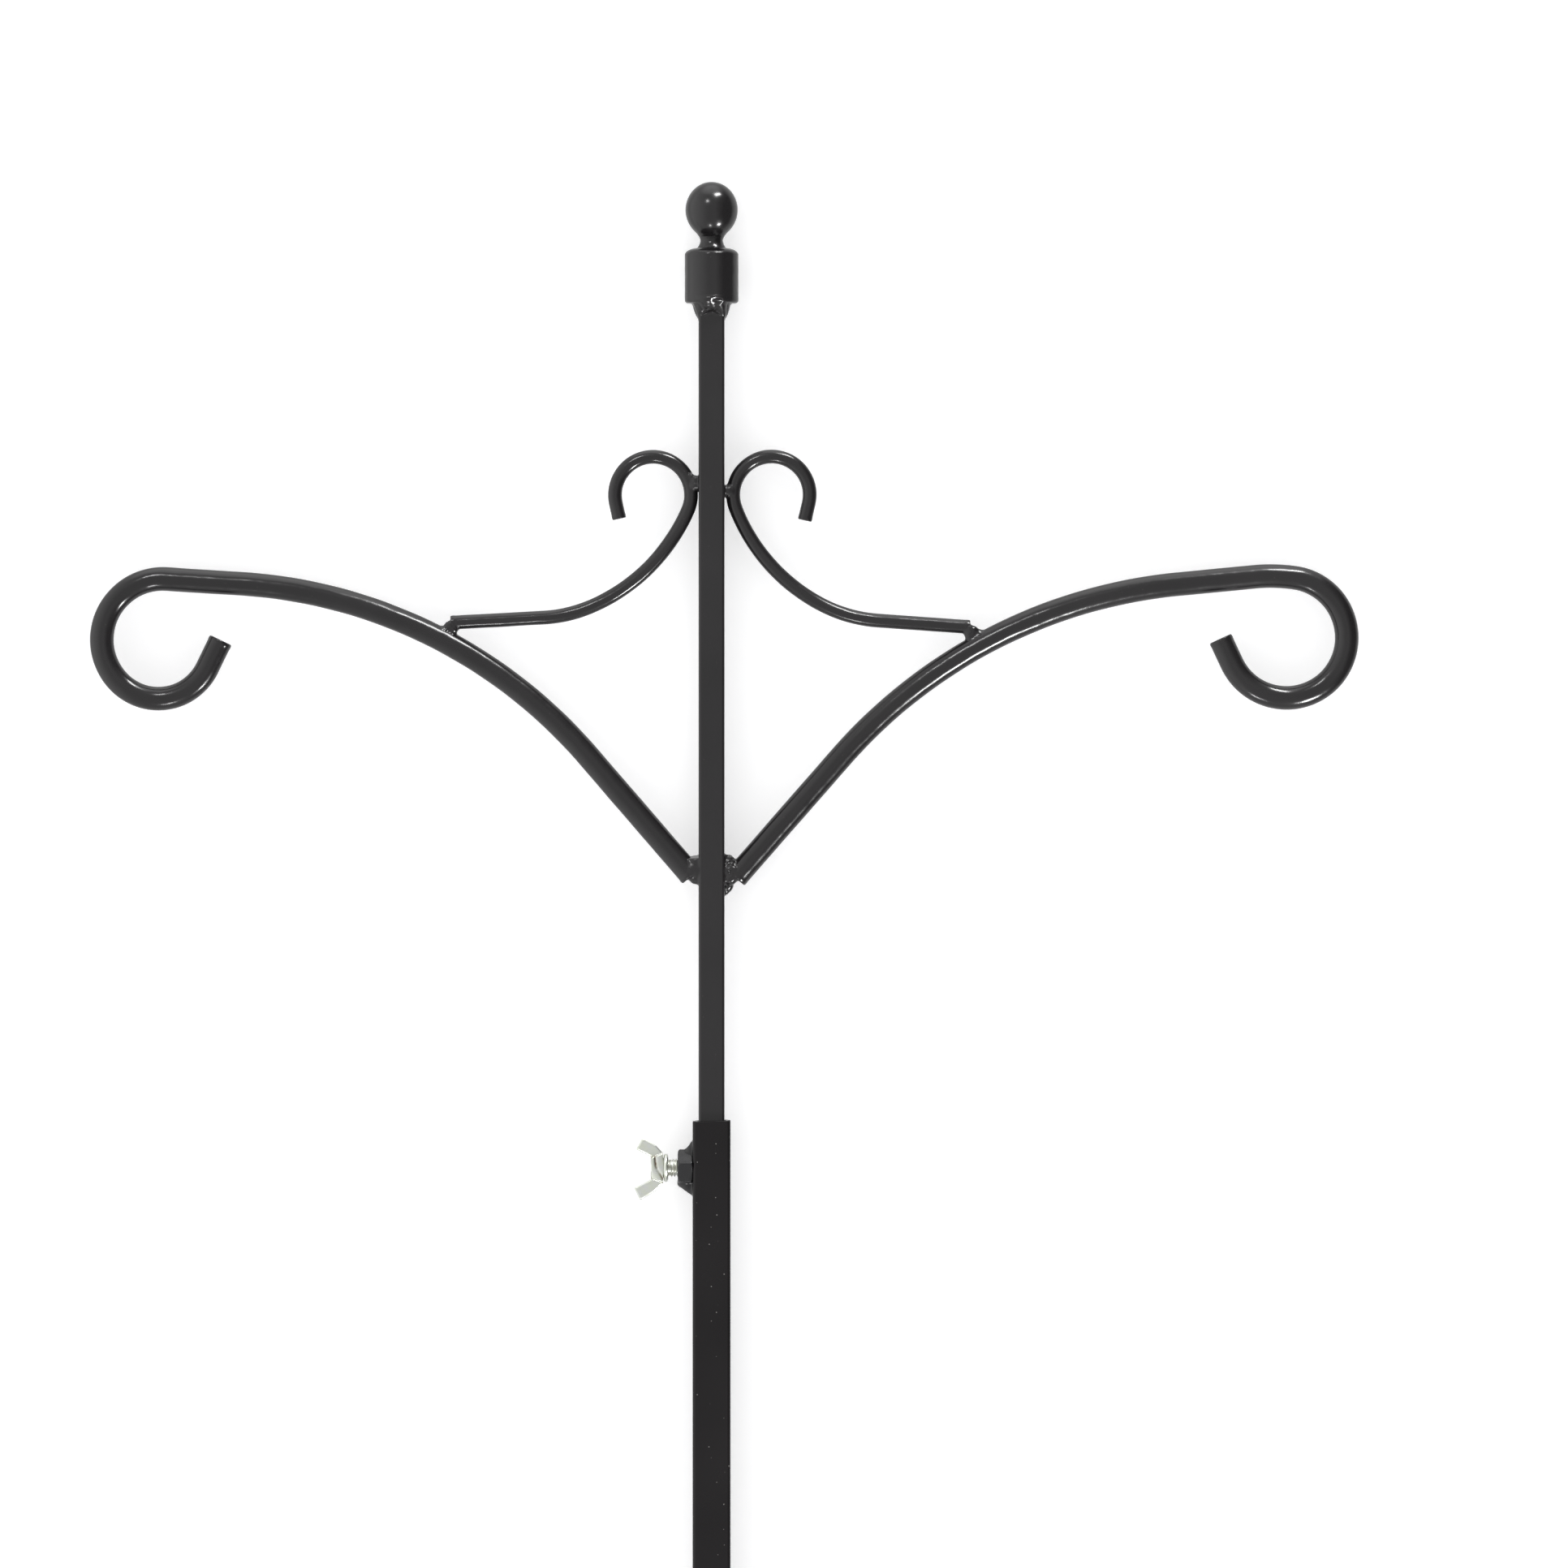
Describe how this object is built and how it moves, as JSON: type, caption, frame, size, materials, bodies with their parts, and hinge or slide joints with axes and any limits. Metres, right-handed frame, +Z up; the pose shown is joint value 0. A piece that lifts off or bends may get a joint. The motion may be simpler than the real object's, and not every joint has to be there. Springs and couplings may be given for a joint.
{
  "type": "bird feeder pole",
  "caption": "Square telescoping garden pole with two hooked arms for hanging bird feeders, scroll braces, a ball finial and a wing screw clamp.",
  "frame": {"origin": "on the pole's axis at the ground line, level with the undersides of the step bars", "axes": "+Z up the pole; +X and -X along the two arms; -Y towards the viewer; the wing screw points to -X"},
  "size_m": [0.6371, 0.027, 1.7211],
  "materials": {
    "mast_coat": "semi-gloss black powder coat",
    "base_coat": "semi-gloss black powder coat",
    "zinc_plate": "bright zinc plate with a faint yellow passivation"
  },
  "bodies": {
    "base": {"base_tube": "base_coat", "ground_spike": "base_coat", "step_bar_left": "base_coat", "step_bar_right": "base_coat", "step_weld_left": "base_coat", "step_weld_right": "base_coat", "clamp_nut": "base_coat", "nut_weld_upper": "base_coat", "nut_weld_lower": "base_coat"},
    "mast": {"mast_tube": "mast_coat", "finial_collar": "mast_coat", "finial_ball": "mast_coat", "finial_weld": "mast_coat", "arm_left": "mast_coat", "arm_right": "mast_coat", "arm_weld_left": "mast_coat", "arm_weld_right": "mast_coat", "scroll_left": "mast_coat", "scroll_right": "mast_coat", "scroll_mast_weld_left": "mast_coat", "scroll_mast_weld_right": "mast_coat", "scroll_arm_weld_left": "mast_coat", "scroll_arm_weld_right": "mast_coat"},
    "screw": {"screw_shank": "zinc_plate"},
    "wing": {"wing_flange": "zinc_plate", "wing_head": "zinc_plate"}
  },
  "joints": [
    {"name": "mast_slide", "type": "slide", "parent": "base", "child": "mast", "axis": [0, 0, 1], "range_m": [-0.1, 0.6]},
    {"name": "screw_travel", "type": "slide", "parent": "base", "child": "screw", "axis": [-1, 0, 0], "range_m": [0, 0.0075]},
    {"name": "wing_turn", "type": "hinge", "parent": "screw", "child": "wing", "pos_m": [-0.03, 0, 0.996], "axis": [-1, 0, 0], "range_deg": [0, 1801]}
  ],
  "couplings": [
    {"joint": "wing_turn", "follows": "screw_travel", "rad_per_m": 4188.8}
  ]
}
